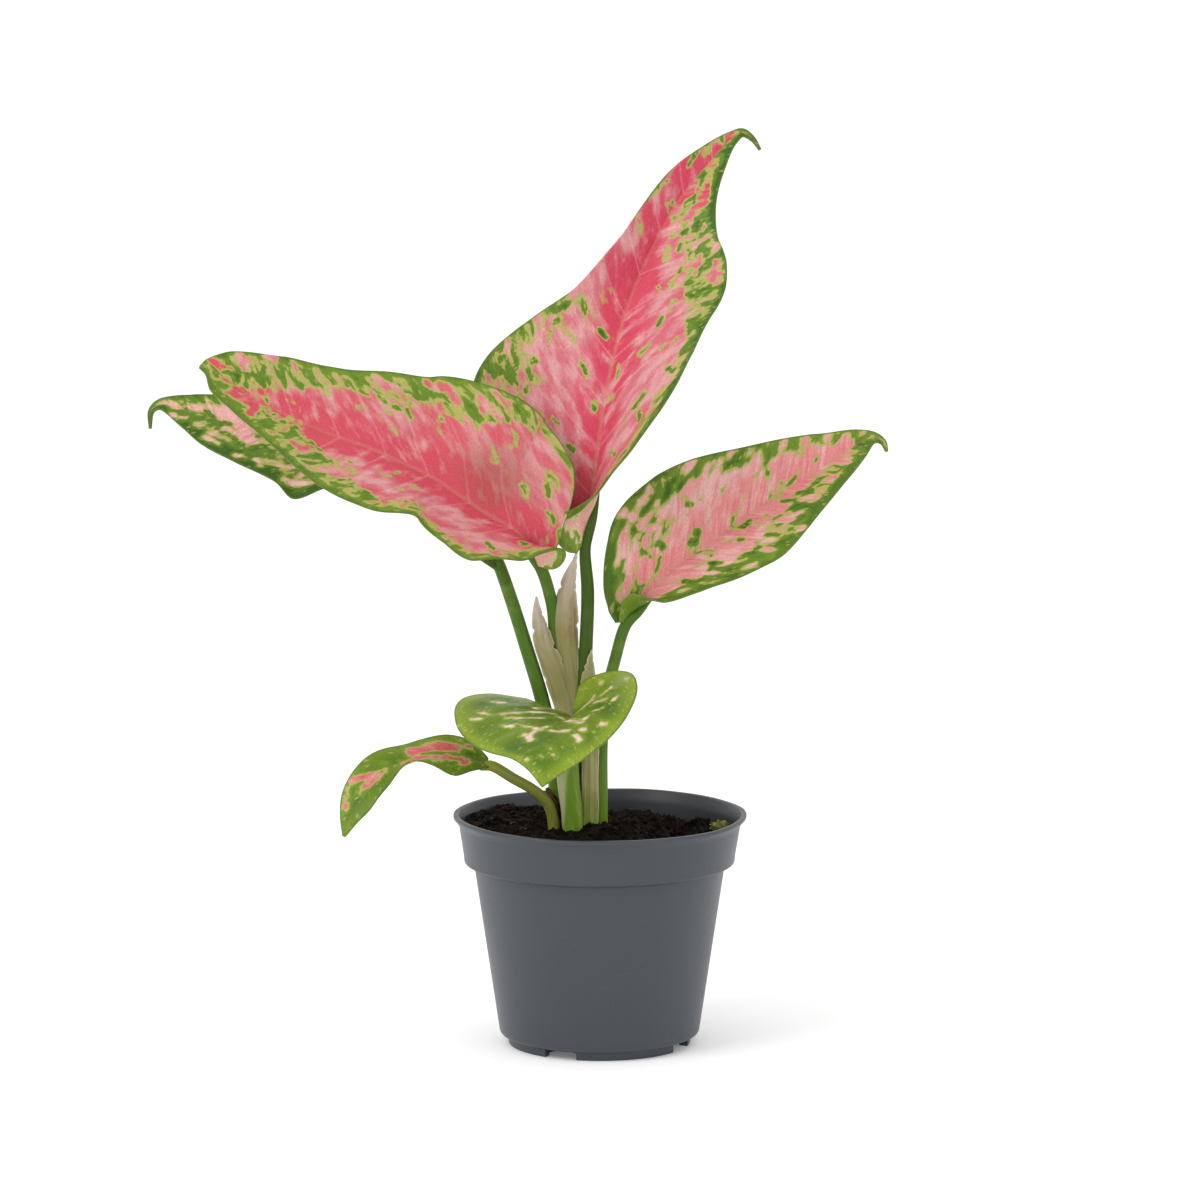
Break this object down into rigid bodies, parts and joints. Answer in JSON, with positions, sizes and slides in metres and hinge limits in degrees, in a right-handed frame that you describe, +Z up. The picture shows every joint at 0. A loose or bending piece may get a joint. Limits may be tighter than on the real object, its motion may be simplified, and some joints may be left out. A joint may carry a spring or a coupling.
{
  "type": "potted chinese evergreen",
  "caption": "Young chinese evergreen with waxy pink and green leaves on slim stalks, growing in dark peat in a small round plastic nursery pot.",
  "frame": {"origin": "on the pot's axis, at the flat underside that it stands on", "axes": "+Z up along the pot's axis, +X to the right and -Y to the viewer when the plant is seen from its front"},
  "size_m": [0.1511, 0.0698, 0.1849],
  "materials": {
    "leaf": "satin waxy leaf, rose pink with green margins and blotches",
    "stalk": "smooth satin green stalk",
    "cane": "smooth pale green cane",
    "sheath": "pale papery membrane, tinged with green and brown",
    "stub": "dry withered leaf foot, dark brown",
    "soil": "moist dark peat",
    "pot": "satin grey moulded plastic"
  },
  "bodies": {
    "root": {"pot": "pot", "soil": "soil", "cane": "cane", "stalk_top": "stalk", "stalk_left": "stalk", "stalk_backLeft": "stalk", "stalk_right": "stalk", "stalk_front": "stalk", "stalk_lowLeft": "stalk", "withered_stub": "stub", "sheath_backLeft": "sheath", "sheath_left": "sheath", "sheath_right": "sheath", "leaf_top": "leaf", "leaf_left": "leaf", "leaf_backLeft": "leaf", "leaf_right": "leaf", "leaf_front": "leaf", "leaf_lowLeft": "leaf"}
  },
  "joints": []
}
